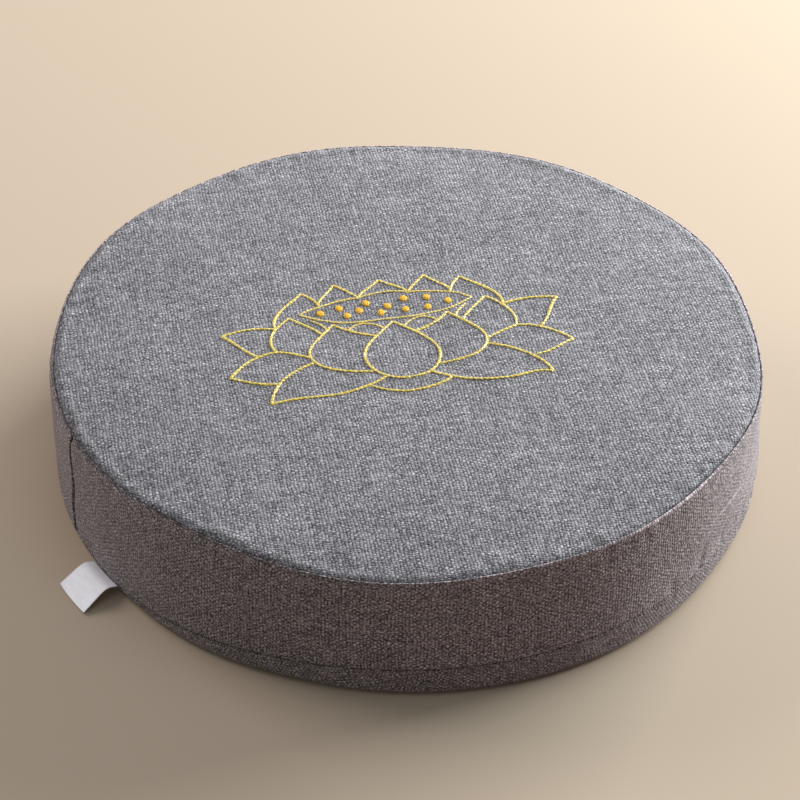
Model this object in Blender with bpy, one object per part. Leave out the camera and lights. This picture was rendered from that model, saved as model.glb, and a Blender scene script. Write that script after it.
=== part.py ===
"""Round boxed meditation cushion, in metres, +Z up.

A flat drum of foam in a sewn cover: a round top panel, one long side band and a
round bottom panel that turns up over the lower edge. A woven care label hangs
out of the lower seam. The origin is the bottom centre, on the surface that the
cushion rests on, and the motif on the top reads upright from -Y.

The band holds the filling, so the band's node is the cushion's one filled
solid, with its crown, its drawn-in seams and its closing seam. The top and
bottom panels are sheets of their own, 0.3 mm clear of it.
"""

import math
from collections import namedtuple

import bmesh
import bpy

MM = 0.001

# Driving dimensions
SEAM_RADIUS = 200.0 * MM  # centre to the top seam, mean
SEAM_HEIGHT = 82.0 * MM  # floor to the top seam
CROWN = 4.0 * MM  # the middle of the top stands this far above its seam
CROWN_POWER = 5  # how late the top starts to fall towards the seam
CLOTH = 1.5 * MM  # a panel with its backing
GAP = 0.3 * MM  # between two pieces
SEAM_LIP = 0.25 * MM  # the band's upper edge stands proud of the top panel
EDGE_ROUND = 5.0 * MM  # turn from wall to underside
SEAM_DIP = 0.4 * MM  # the bottom panel starts this far inside the band
CLOSING_DEPTH = 0.9 * MM  # groove of the band's upright seam
CLOSING_HALF_DEG = 0.55  # half its width
INNER_RING = 60.0 * MM  # ring on the flat underside

LABEL_WIDTH_FROM_DEG, LABEL_WIDTH_TO_DEG = -161.0, -153.1  # along the seam
LABEL_REACH = 24.5 * MM  # from the seam to its free edge, seen from above
LABEL_HEADING_DEG = -145.5  # the way it points
LABEL_THICK = 1.0 * MM

STEPS_ROUND = 80  # regular stations round the cushion

# How far the seam's outline strays from a circle: soft lobes round the edge
Lobe = namedtuple("Lobe", "lobes out_mm phase_deg")
OUTLINE = [
    Lobe(3, 0.85, 112),
    Lobe(5, 0.49, -167),
    Lobe(6, 0.54, 121),
    Lobe(8, 0.54, 141),
    Lobe(9, 0.51, -177),
]
# The same for the height of the top seam
SEAM_WAVES = [
    Lobe(2, 0.65, -118),
    Lobe(4, 0.67, 165),
    Lobe(8, 0.73, 23),
]

# The wall, one row for each place round it: how far it stands out from the
# plain circle at three heights, and how high the lower seam rides there. The
# outline's lobes belong to the top seam and die out down the wall.
Wall = namedtuple("Wall", "azimuth_deg upper_mm middle_mm lower_mm seam_mm")
WALL = [
    Wall(-161, 2.6, 2.2, 1.2, 3.6),  # at the label's left edge
    Wall(-148, 2.4, 2.4, 2.0, 6.5),  # past its right edge
    Wall(-134, 2.0, 2.6, 3.0, 12.0),  # front left
    Wall(-119, 1.8, 2.4, 2.1, 16.0),  # flatter just after it
    Wall(-102, 1.6, 2.2, 2.9, 19.5),  # front
    Wall(-70, 1.5, 2.4, 3.1, 20.5),  # front right
    Wall(-42, 1.4, 2.0, 1.1, 17.5),  # flatter right of that
    Wall(-19, 1.3, 2.6, 3.6, 14.5),  # right
    Wall(35, 1.8, 2.6, 3.0, 10.0),  # back right
    Wall(90, 2.1, 2.6, 2.6, 7.5),  # back
    Wall(140, 2.5, 2.6, 2.6, 5.5),  # back left
    Wall(178, 2.9, 3.0, 3.0, 4.0),  # left
]
UPPER_AT, MIDDLE_AT, LOWER_AT = 75 * MM, 45 * MM, 26 * MM

# The band's upright closing seam wanders a little on its way down
Closing = namedtuple("Closing", "height_mm azimuth_deg")
CLOSING_SEAM = [
    Closing(82, -164.8),
    Closing(60, -166.1),
    Closing(45, -165.9),
    Closing(20, -167.7),
    Closing(0, -167.0),
]
CLOSING_MEAN_DEG = -166.2
CLOSING_REACH_DEG = 9.0  # stations this near lean with the seam

# Rings on the top, as shares of the seam's radius
TOP_RINGS = (0.30, 0.55, 0.75, 0.87, 0.94, 0.98)


def clear_scene():
    for obj in list(bpy.data.objects):
        bpy.data.objects.remove(obj, do_unlink=True)


def fabric(name, colour, roughness):
    material = bpy.data.materials.new(name)
    material.use_nodes = True
    shader = material.node_tree.nodes["Principled BSDF"]
    shader.inputs["Base Color"].default_value = (*colour, 1.0)
    shader.inputs["Roughness"].default_value = roughness
    shader.inputs["Metallic"].default_value = 0.0
    material.diffuse_color = (*colour, 1.0)
    return material


def ease(t):
    return t * t * (3.0 - 2.0 * t)


def lobes(rows, azimuth):
    """Sum of the soft lobes at this azimuth (radians), in metres."""
    return MM * sum(
        row.out_mm * math.cos(row.lobes * azimuth - math.radians(row.phase_deg))
        for row in rows
    )


def wall_row(azimuth):
    """The wall's row at any azimuth, eased between the rows of the table."""
    here = math.degrees(azimuth)
    for index, row in enumerate(WALL):
        after = WALL[(index + 1) % len(WALL)]
        span = (after.azimuth_deg - row.azimuth_deg) % 360.0
        along = (here - row.azimuth_deg) % 360.0
        if along <= span:
            t = ease(along / span)
            return Wall(here, *(a + (b - a) * t for a, b in zip(row[1:], after[1:])))
    return WALL[0]


def seam_radius(azimuth):
    return SEAM_RADIUS + lobes(OUTLINE, azimuth)


def seam_height(azimuth):
    return SEAM_HEIGHT + lobes(SEAM_WAVES, azimuth)


def lower_seam(azimuth):
    return wall_row(azimuth).seam_mm * MM


def edge_round(azimuth):
    return min(EDGE_ROUND, lower_seam(azimuth) - 0.8 * MM)


def wall_radius(azimuth, height):
    """Outer face of the band."""
    row = wall_row(azimuth)
    seam = seam_height(azimuth)
    rungs = [
        (0.0, row.lower_mm - 0.4),
        (LOWER_AT, row.lower_mm),
        (MIDDLE_AT, row.middle_mm),
        (UPPER_AT, row.upper_mm),
        (seam - 0.8 * MM, 1.0),
    ]
    for (low, out_low), (high, out_high) in zip(rungs, rungs[1:]):
        if height <= high or (high, out_high) == rungs[-1]:
            t = ease(min(1.0, max(0.0, (height - low) / (high - low))))
            out = MM * (out_low + (out_high - out_low) * t)
            break
    share = min(1.0, max(0.0, (height - LOWER_AT) / (seam - LOWER_AT)))
    return SEAM_RADIUS + out + lobes(OUTLINE, azimuth) * share


def strip_radius(azimuth, height):
    """Outer face of the bottom panel where it turns up the wall."""
    seam = lower_seam(azimuth)
    lean = 0.05 * max(0.0, seam - height)
    return wall_radius(azimuth, seam) - SEAM_DIP - lean


def top_height(azimuth, share):
    """Upper face of the top panel: the seam's waves die out towards the middle."""
    wave = lobes(SEAM_WAVES, azimuth) * share**3
    return SEAM_HEIGHT + wave + CROWN * (1.0 - share**CROWN_POWER)


def stations_round():
    """Azimuths in radians: regular ones, and three that draw the closing seam."""
    step = 360.0 / STEPS_ROUND
    regular = [CLOSING_MEAN_DEG + step * i for i in range(1, STEPS_ROUND)]
    closing = [
        CLOSING_MEAN_DEG - CLOSING_HALF_DEG,
        CLOSING_MEAN_DEG,
        CLOSING_MEAN_DEG + CLOSING_HALF_DEG,
    ]
    return [math.radians(a) for a in closing + regular]


def closing_lean(azimuth, height):
    """How far a station near the closing seam moves sideways at this height."""
    away = math.degrees(azimuth) - CLOSING_MEAN_DEG
    away = (away + 180.0) % 360.0 - 180.0
    if abs(away) >= CLOSING_REACH_DEG:
        return 0.0
    rows = CLOSING_SEAM
    at = rows[-1].azimuth_deg
    for above, below in zip(rows, rows[1:]):
        if height >= below.height_mm * MM:
            t = (height / MM - below.height_mm) / (above.height_mm - below.height_mm)
            at = below.azimuth_deg + (above.azimuth_deg - below.azimuth_deg) * min(t, 1)
            break
    share = ease(1.0 - abs(away) / CLOSING_REACH_DEG)
    return math.radians((at - CLOSING_MEAN_DEG) * share)


def in_closing_seam(azimuth):
    return abs(math.degrees(azimuth) - CLOSING_MEAN_DEG) < 0.01


def point(azimuth, radius, height):
    return (radius * math.cos(azimuth), radius * math.sin(azimuth), height)


def turned_body(name, stations, start_height, end_height, material):
    """A closed solid of rings round the axis, each extruded from the one before.

    stations holds one function for each ring. It takes an azimuth and returns
    where the ring is there, as (x, y, z). The first and the last ring are
    closed by a fan to a point on the axis.
    """
    azimuths = stations_round()
    bm = bmesh.new()
    index = bm.verts.layers.int.new("azimuth_index")
    ring = [bm.verts.new(stations[0](a)) for a in azimuths]
    for i, vert in enumerate(ring):
        vert[index] = i
    edges = [bm.edges.new((ring[i - 1], ring[i])) for i in range(len(ring))]
    first = list(ring)
    for place in stations[1:]:
        made = bmesh.ops.extrude_edge_only(bm, edges=edges)["geom"]
        verts = [g for g in made if isinstance(g, bmesh.types.BMVert)]
        edges = [
            g
            for g in made
            if isinstance(g, bmesh.types.BMEdge)
            and g.verts[0] in verts
            and g.verts[1] in verts
        ]
        for vert in verts:
            vert.co = place(azimuths[vert[index]])
    last = sorted(verts, key=lambda vert: vert[index])
    for loop, height in ((first, start_height), (last, end_height)):
        tip = bm.verts.new((0.0, 0.0, height))
        for i in range(len(loop)):
            bm.faces.new((loop[i - 1], loop[i], tip))
    bm.verts.layers.int.remove(index)
    bmesh.ops.recalc_face_normals(bm, faces=bm.faces)
    return add_object(name, bm, material)


def add_object(name, bm, material):
    mesh = bpy.data.meshes.new(name)
    bm.to_mesh(mesh)
    bm.free()
    mesh.materials.append(material)
    mesh.shade_smooth()
    mesh.set_sharp_from_angle(angle=math.radians(40))
    obj = bpy.data.objects.new(name, mesh)
    bpy.context.scene.collection.objects.link(obj)
    return obj


def top_ring(share, below):
    return lambda a: point(a, seam_radius(a) * share, top_height(a, share) - below)


def top_panel(material):
    """A round sheet with a slight crown, its edge rolled down into the seam."""
    outer = [top_ring(share, 0.0) for share in TOP_RINGS]
    inner = [top_ring(share, CLOTH) for share in reversed(TOP_RINGS)]
    edge = [
        lambda a: point(a, seam_radius(a) - 0.7 * MM, seam_height(a) - 0.05 * MM),
        lambda a: point(a, seam_radius(a) - GAP / 2, seam_height(a) - 0.6 * MM),
        lambda a: point(a, seam_radius(a) - GAP / 2, seam_height(a) - CLOTH),
    ]
    middle = SEAM_HEIGHT + CROWN
    return turned_body(
        "top_panel", outer + edge + inner, middle, middle - CLOTH, material
    )


def side_band(material):
    """The filled drum that the band holds, rebated for the two panels."""

    def wall(height_of, inset=0.0, leans=True):
        def place(a):
            height = height_of(a)
            at = a + (closing_lean(a, height) if leans else 0.0)
            groove = CLOSING_DEPTH if leans and in_closing_seam(a) else 0.0
            return point(at, wall_radius(a, height) - inset - groove, height)

        return place

    below_top = CLOTH + GAP
    top = [top_ring(share, below_top) for share in TOP_RINGS]
    lip = [
        lambda a: point(a, seam_radius(a) + GAP / 2, seam_height(a) - below_top),
        lambda a: point(a, seam_radius(a) + GAP / 2, seam_height(a) - 0.1 * MM),
        lambda a: point(a, seam_radius(a) + 0.55 * MM, seam_height(a) + SEAM_LIP),
        lambda a: point(a, seam_radius(a) + 1.0 * MM, seam_height(a) - 0.5 * MM),
    ]
    face = [
        wall(lambda a: seam_height(a) - 3.0 * MM),
        wall(lambda a: UPPER_AT),
        wall(lambda a: 60 * MM),
        wall(lambda a: MIDDLE_AT),
        wall(lambda a: 34 * MM),
        wall(lambda a: lower_seam(a) + 3.0 * MM),
        wall(lambda a: lower_seam(a) + GAP / 2, inset=SEAM_DIP, leans=False),
    ]

    def inside_panel(turn):
        """On the quarter turn inside the bottom panel, 0 at the wall, 1 below."""

        def place(a):
            big = edge_round(a)
            small = big - below_top
            angle = turn * math.pi / 2
            middle = strip_radius(a, big) - big
            return point(
                a, middle + small * math.cos(angle), big - small * math.sin(angle)
            )

        return place

    base = [
        lambda a: point(
            a,
            strip_radius(a, lower_seam(a)) - below_top,
            lower_seam(a) + GAP / 2,
        ),
        inside_panel(0.0),
        inside_panel(0.5),
        inside_panel(1.0),
        lambda a: point(a, INNER_RING, below_top),
    ]
    middle = SEAM_HEIGHT + CROWN - below_top
    return turned_body(
        "side_band", top + lip + face + base, middle, below_top, material
    )


def bottom_panel(material):
    """A round sheet, flat where it rests, turned up the wall to the lower seam."""

    def turned(turn, inside):
        def place(a):
            big = edge_round(a)
            size = big - (CLOTH if inside else 0.0)
            angle = turn * math.pi / 2
            middle = strip_radius(a, big) - big
            return point(
                a, middle + size * math.cos(angle), big - size * math.sin(angle)
            )

        return place

    def upper_edge(inset, below):
        return lambda a: point(
            a,
            strip_radius(a, lower_seam(a)) - inset,
            lower_seam(a) - GAP / 2 - below,
        )

    inside = [
        lambda a: point(a, INNER_RING, CLOTH),
        turned(1.0, True),
        turned(0.5, True),
        turned(0.0, True),
        upper_edge(CLOTH, 0.0),
    ]
    outside = [
        upper_edge(0.35 * MM, 0.0),
        upper_edge(0.0, 0.35 * MM),
        turned(0.0, False),
        turned(0.5, False),
        turned(1.0, False),
        lambda a: point(a, INNER_RING, 0.0),
    ]
    return turned_body("bottom_panel", inside + outside, CLOTH, 0.0, material)


def care_label(material, along=10, across=3):
    """A woven tape out of the lower seam, arched up and then down to the floor."""
    heading = math.radians(LABEL_HEADING_DEG)
    bm = bmesh.new()
    bmesh.ops.create_grid(bm, x_segments=along, y_segments=across, size=0.5)
    for vert in bm.verts:
        out, side = vert.co.x + 0.5, vert.co.y + 0.5
        azimuth = math.radians(
            LABEL_WIDTH_FROM_DEG + (LABEL_WIDTH_TO_DEG - LABEL_WIDTH_FROM_DEG) * side
        )
        root_height = (2.0 + 3.0 * side) * MM
        rise = (3.6 - 0.4 * side) * MM
        root_radius = wall_radius(azimuth, lower_seam(azimuth)) + 0.6 * MM
        x, y, _ = point(azimuth, root_radius, 0.0)
        # up over the first third, then a bend and a straight fall to the floor
        if out < 0.36:
            height = root_height + rise * math.sin(out / 0.36 * math.pi / 2)
        else:
            fall = (out - 0.36) / 0.64
            height = root_height + rise
            height += (0.75 * MM - height) * (fall * 0.85 + 0.15 * fall * fall)
        vert.co = (
            x + LABEL_REACH * out * math.cos(heading),
            y + LABEL_REACH * out * math.sin(heading),
            height,
        )
    bmesh.ops.recalc_face_normals(bm, faces=bm.faces)
    obj = add_object("care_label", bm, material)
    thick = obj.modifiers.new("thickness", "SOLIDIFY")
    thick.thickness = LABEL_THICK
    thick.offset = 0.0
    return obj


def build():
    clear_scene()
    grey = fabric("grey_linen", (0.21, 0.21, 0.225), 0.92)
    band_grey = fabric("grey_linen_band", (0.17, 0.16, 0.16), 0.92)
    under_grey = fabric("grey_linen_under", (0.17, 0.165, 0.17), 0.92)
    white = fabric("white_woven_tape", (0.78, 0.77, 0.79), 0.7)
    top_panel(grey)
    side_band(band_grey)
    bottom_panel(under_grey)
    care_label(white)


build()
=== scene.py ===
"""Looks of the round boxed meditation cushion, in metres, +Z up.

The cover is sewn from one grey slub cloth: a round top panel with a line lotus
stitched on it, a long side band, and a round bottom panel that turns up over the
lower edge. A woven tape label hangs out of the lower seam. The wall follows the
same short tables as the solids, and a cloth simulation of the loose cover gives
its unevenness between the seams.
"""

import math
from collections import namedtuple

import bpy
import numpy as np
from mathutils import Matrix, Vector


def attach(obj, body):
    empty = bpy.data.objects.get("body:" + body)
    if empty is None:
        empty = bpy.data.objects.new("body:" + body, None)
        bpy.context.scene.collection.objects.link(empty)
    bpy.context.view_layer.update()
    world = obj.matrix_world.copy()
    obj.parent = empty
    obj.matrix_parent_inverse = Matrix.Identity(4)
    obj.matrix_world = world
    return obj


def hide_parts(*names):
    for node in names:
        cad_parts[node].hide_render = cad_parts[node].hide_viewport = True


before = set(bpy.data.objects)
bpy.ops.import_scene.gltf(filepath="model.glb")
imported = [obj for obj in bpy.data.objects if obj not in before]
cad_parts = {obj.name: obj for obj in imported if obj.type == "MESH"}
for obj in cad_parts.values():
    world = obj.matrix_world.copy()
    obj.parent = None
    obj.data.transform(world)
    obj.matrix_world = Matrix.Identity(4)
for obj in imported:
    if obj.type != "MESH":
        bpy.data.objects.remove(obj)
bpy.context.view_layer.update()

MM = 0.001

# ---------------------------------------------------------------- sizes
SEAM_RADIUS = 200.0  # mm, centre to the top seam
SEAM_HEIGHT = 82.0  # mm, floor to the top seam
CROWN = 4.0  # mm, the middle of the top above its seam
CROWN_POWER = 5
CLOTH = 1.2  # mm, a panel with its backing
EDGE_ROUND = 5.0  # mm, turn from wall to underside
SEAM_DIP = 0.4  # mm, the bottom panel starts this far inside the band
UPPER_AT, MIDDLE_AT, LOWER_AT = 75.0, 45.0, 26.0  # mm, heights of the wall's table

Lobe = namedtuple("Lobe", "lobes out_mm phase_deg")
OUTLINE = [
    Lobe(3, 0.85, 112),
    Lobe(5, 0.49, -167),
    Lobe(6, 0.54, 121),
    Lobe(8, 0.54, 141),
    Lobe(9, 0.51, -177),
]
SEAM_WAVES = [
    Lobe(2, 0.65, -118),
    Lobe(4, 0.67, 165),
    Lobe(8, 0.73, 23),
]

Wall = namedtuple("Wall", "azimuth_deg upper_mm middle_mm lower_mm seam_mm")
WALL = [
    Wall(-161, 2.6, 2.2, 1.2, 3.6),
    Wall(-148, 2.4, 2.4, 2.0, 6.5),
    Wall(-134, 2.0, 2.6, 3.0, 12.0),
    Wall(-119, 1.8, 2.4, 2.1, 16.0),
    Wall(-102, 1.6, 2.2, 2.9, 19.5),
    Wall(-70, 1.5, 2.4, 3.1, 20.5),
    Wall(-42, 1.4, 2.0, 1.1, 17.5),
    Wall(-19, 1.3, 2.6, 3.6, 14.5),
    Wall(35, 1.8, 2.6, 3.0, 10.0),
    Wall(90, 2.1, 2.6, 2.6, 7.5),
    Wall(140, 2.5, 2.6, 2.6, 5.5),
    Wall(178, 2.9, 3.0, 3.0, 4.0),
]

# The top seam: how far the band's upper edge stands proud of it, how far the
# panel drops into it, and how far the panel puffs up beside it
TopSeam = namedtuple("TopSeam", "azimuth_deg proud_mm drop_mm puff_mm")
TOP_SEAM = [
    TopSeam(-165, -1.0, 0.8, 0.3),
    TopSeam(-128, -0.9, 0.8, 0.3),
    TopSeam(-106, 0.1, 1.0, 0.2),
    TopSeam(-85, 0.5, 0.9, 0.1),
    TopSeam(-56, 1.0, 0.9, 0.1),
    TopSeam(-38, 0.5, 0.9, 0.1),
    TopSeam(-27, -0.5, 1.0, 0.3),
    TopSeam(-10, -0.9, 1.1, 0.5),
    TopSeam(30, -0.7, 0.75, 0.5),
    TopSeam(90, -0.3, 0.45, 0.65),
    TopSeam(150, -0.5, 0.55, 0.6),
]
SEAM_ROLL = 1.9  # mm, the width over which the panel drops into its seam

# Painted highlight (above 0) and painted shade (below 0) along the top seam, on the panel and on the band: pale where
# the rolled edge and the band's rim face the key light, dark in the crease at the left
SeamEdgeLight = namedtuple("SeamEdgeLight", "azimuth_deg panel band")
SEAM_EDGE_LIGHT = [
    SeamEdgeLight(-168, -0.16, -0.55),
    SeamEdgeLight(-130, -0.16, -0.60),
    SeamEdgeLight(-108, -0.15, -0.10),
    SeamEdgeLight(-95, -0.08, 0.35),
    SeamEdgeLight(-72, -0.08, 0.50),
    SeamEdgeLight(-60, -0.12, 1.20),
    SeamEdgeLight(-53, -0.12, 1.35),
    SeamEdgeLight(-46, -0.08, 0.55),
    SeamEdgeLight(-39, -0.05, 0.30),
    SeamEdgeLight(-12, 0.05, 0.15),
    SeamEdgeLight(40, 0.30, 0.55),
    SeamEdgeLight(100, 0.30, 0.60),
    SeamEdgeLight(160, 0.10, 0.30),
]

# Painted shade along the lower seam, in its crease
LowerSeamShade = namedtuple("LowerSeamShade", "azimuth_deg amount")
LOWER_SEAM_SHADE = [
    LowerSeamShade(-165, 0.10),
    LowerSeamShade(-130, 0.25),
    LowerSeamShade(-100, 0.22),
    LowerSeamShade(-70, 0.10),
    LowerSeamShade(-40, 0.04),
    LowerSeamShade(0, 0.06),
    LowerSeamShade(90, 0.12),
]

Closing = namedtuple("Closing", "height_mm azimuth_deg")
CLOSING_SEAM = [
    Closing(0, -168.0),
    Closing(20, -168.6),
    Closing(45, -166.7),
    Closing(60, -166.8),
    Closing(82, -165.5),
]
CLOSING_MEAN_DEG = -167.0
CLOSING_REACH_DEG = 9.0

LABEL_WIDTH_FROM_DEG, LABEL_WIDTH_TO_DEG = -161.0, -153.1
LABEL_REACH = 24.5  # mm
LABEL_HEADING_DEG = -145.5
LABEL_THICK = 0.45  # mm
LABEL_WIDE = 27.2  # mm

rng = np.random.default_rng(41)


# ---------------------------------------------------------------- shape of the cover
def smooth_rows(xs, ys, at):
    """A smooth curve through rows of values, without overshoot."""
    at = np.asarray(at, float)
    xs = np.asarray(xs, float).reshape((len(xs), -1)) + np.zeros((1, at.size))
    ys = np.asarray(ys, float).reshape((len(ys), -1)) + np.zeros((1, at.size))
    flat = at.ravel()
    step = np.diff(xs, axis=0)
    slope = np.diff(ys, axis=0) / step
    before, after = slope[:-1], slope[1:]
    total = np.where(before * after > 0, before + after, 1.0)
    inner = np.where(before * after > 0, 2 * before * after / total, 0.0)
    tangent = np.concatenate([slope[:1], inner, slope[-1:]])
    out = np.where(flat <= xs[0], ys[0], ys[-1])
    for k in range(len(step)):
        t = (flat - xs[k]) / step[k]
        inside = (t >= 0) & (t <= 1)
        value = (
            (1 + 2 * t) * (1 - t) ** 2 * ys[k]
            + t * (1 - t) ** 2 * step[k] * tangent[k]
            + t * t * (3 - 2 * t) * ys[k + 1]
            + t * t * (t - 1) * step[k] * tangent[k + 1]
        )
        out = np.where(inside, value, out)
    return out.reshape(at.shape)


def round_table(rows, column, azimuth):
    """A column of a table with a row for each place round the cushion."""
    start = rows[0].azimuth_deg
    at = (np.degrees(azimuth) - start) % 360.0
    places = [(row.azimuth_deg - start) % 360.0 for row in rows]
    values = [getattr(row, column) for row in rows]
    xs = [places[-2] - 360, places[-1] - 360, *places, 360, places[1] + 360]
    ys = [values[-2], values[-1], *values, values[0], values[1]]
    return smooth_rows(xs, ys, at)


def lobes(rows, azimuth):
    return sum(
        row.out_mm * np.cos(row.lobes * azimuth - math.radians(row.phase_deg))
        for row in rows
    )


def seam_radius(azimuth):
    return SEAM_RADIUS + lobes(OUTLINE, azimuth)


def seam_height(azimuth):
    return SEAM_HEIGHT + lobes(SEAM_WAVES, azimuth)


def lower_seam(azimuth):
    return round_table(WALL, "seam_mm", azimuth)


def wall_radius(azimuth, height):
    """Outer face of the band, in mm."""
    azimuth, height = np.broadcast_arrays(azimuth, height)
    lower = round_table(WALL, "lower_mm", azimuth).ravel()
    middle = round_table(WALL, "middle_mm", azimuth).ravel()
    upper = round_table(WALL, "upper_mm", azimuth).ravel()
    seam = seam_height(azimuth).ravel()
    zero = np.zeros_like(seam)
    xs = np.stack([zero, zero + LOWER_AT, zero + MIDDLE_AT, zero + UPPER_AT, seam])
    ys = np.stack([lower - 0.4, lower, middle, upper, zero + 1.0])
    out = smooth_rows(xs, ys, height.ravel())
    share = np.clip((height.ravel() - LOWER_AT) / (seam - LOWER_AT), 0, 1)
    radius = SEAM_RADIUS + out + lobes(OUTLINE, azimuth.ravel()) * share
    return radius.reshape(height.shape)


def strip_radius(azimuth, height):
    """Outer face of the bottom panel where it turns up the wall, in mm."""
    seam = lower_seam(azimuth)
    lean = 0.05 * np.maximum(0.0, seam - height)
    return wall_radius(azimuth, seam) - SEAM_DIP - lean


def top_height(azimuth, share):
    wave = lobes(SEAM_WAVES, azimuth) * share**3
    return SEAM_HEIGHT + wave + CROWN * (1.0 - share**CROWN_POWER)


def edge_round(azimuth):
    return np.minimum(EDGE_ROUND, lower_seam(azimuth) - 0.8)


def ripple(azimuth, seed, shortest, longest, count=26):
    """Uneven small waves round a seam, of unit height. Wavelengths are in mm."""
    random = np.random.default_rng(seed)
    waves = 2 * math.pi * SEAM_RADIUS / random.uniform(shortest, longest, count)
    phases = random.uniform(0, 2 * math.pi, count)
    total = sum(np.cos(np.round(w) * azimuth + p) for w, p in zip(waves, phases))
    return total / math.sqrt(count / 2)


def dents(x, y, seed, smallest, largest, count=40):
    """Soft unevenness over a flat place, of unit height. Sizes are in mm."""
    random = np.random.default_rng(seed)
    total = 0.0
    for _ in range(count):
        size = random.uniform(smallest, largest)
        turn, phase = random.uniform(0, 2 * math.pi, 2)
        along = x * math.cos(turn) + y * math.sin(turn)
        total = total + np.cos(2 * math.pi * along / size + phase)
    return total / math.sqrt(count / 2)


# ---------------------------------------------------------------- meshes
def make_mesh(name, verts, polygons, uv=None):
    """A mesh object from vertices in mm and arrays of quads or triangles.

    uv holds one array of corner places for each array of polygons: where that
    corner lies on the flat cloth, in mm.
    """
    mesh = bpy.data.meshes.new(name)
    verts = np.asarray(verts, np.float64).reshape(-1, 3) * MM
    mesh.vertices.add(len(verts))
    mesh.vertices.foreach_set("co", verts.astype(np.float32).ravel())
    corners = np.concatenate([p.ravel() for p in polygons]).astype(np.int32)
    sizes = np.concatenate([np.full(len(p), p.shape[1]) for p in polygons])
    starts = np.concatenate([[0], np.cumsum(sizes)[:-1]]).astype(np.int32)
    mesh.loops.add(len(corners))
    mesh.loops.foreach_set("vertex_index", corners)
    mesh.polygons.add(len(sizes))
    mesh.polygons.foreach_set("loop_start", starts)
    mesh.update(calc_edges=True)
    if uv is not None:
        layer = mesh.uv_layers.new(name="cloth_mm")
        flat = np.concatenate([u.reshape(-1, 2) for u in uv]).astype(np.float32)
        layer.uv.foreach_set("vector", flat.ravel())
    mesh.validate()
    mesh.shade_smooth()
    obj = bpy.data.objects.new(name, mesh)
    bpy.context.scene.collection.objects.link(obj)
    return obj


def painted_light(obj, values):
    """Painted light at each point, stored as an attribute: paler (above 0) for painted highlight, darker (below 0) for
    painted shade.
    """
    layer = obj.data.attributes.new("painted_light", "FLOAT", "POINT")
    layer.data.foreach_set("value", np.asarray(values, np.float32).ravel())
    return obj


def ring_quads(rings, stations, start=0):
    """Quads between closed rings that lie one after another in the vertices."""
    ring, at = np.meshgrid(np.arange(rings - 1), np.arange(stations), indexing="ij")
    here = start + ring * stations + at
    turn = start + ring * stations + (at + 1) % stations
    return np.stack([here, turn, turn + stations, here + stations], -1).reshape(-1, 4)


def ring_uv(u, v):
    """Corner places for ring_quads. u and v are (rings, stations + 1)."""
    corner = lambda s: np.stack([u[s], v[s]], -1)
    low, high = slice(None, -1), slice(1, None)
    four = [corner((low, low)), corner((low, high)), corner((high, high)), corner((high, low))]
    return np.stack(four, 2).reshape(-1, 2)


def round_grid(n):
    """A disc of even quads: shares of the radius, azimuths, quads, and the rim."""
    line = np.arange(-n, n + 1) / n
    a, b = np.meshgrid(line, line)
    wide = np.abs(a) > np.abs(b)
    share = np.where(wide, a, b)
    with np.errstate(divide="ignore", invalid="ignore"):
        turn = np.where(wide, math.pi / 4 * b / a, math.pi / 2 - math.pi / 4 * a / b)
    turn = np.where(share == 0, 0.0, turn)
    azimuth = np.where(share < 0, turn + math.pi, turn)
    size = 2 * n + 1
    row, col = np.meshgrid(np.arange(size - 1), np.arange(size - 1), indexing="ij")
    here = row * size + col
    quads = np.stack([here, here + 1, here + size + 1, here + size], -1).reshape(-1, 4)
    index = np.arange(size * size).reshape(size, size)
    rim = np.concatenate(
        [index[n:, -1], index[-1, -2::-1], index[-2::-1, 0], index[0, 1:], index[1:n, -1]]
    )
    return np.abs(share).ravel(), azimuth.ravel(), quads, rim


# ---------------------------------------------------------------- the loose cover
COVER_N = 34  # rings of the coarse round
COVER_ROWS = 17  # rows of the coarse wall
COVER_CAP = 2.5  # mm, the most that a point of the loose cover may move


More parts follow.
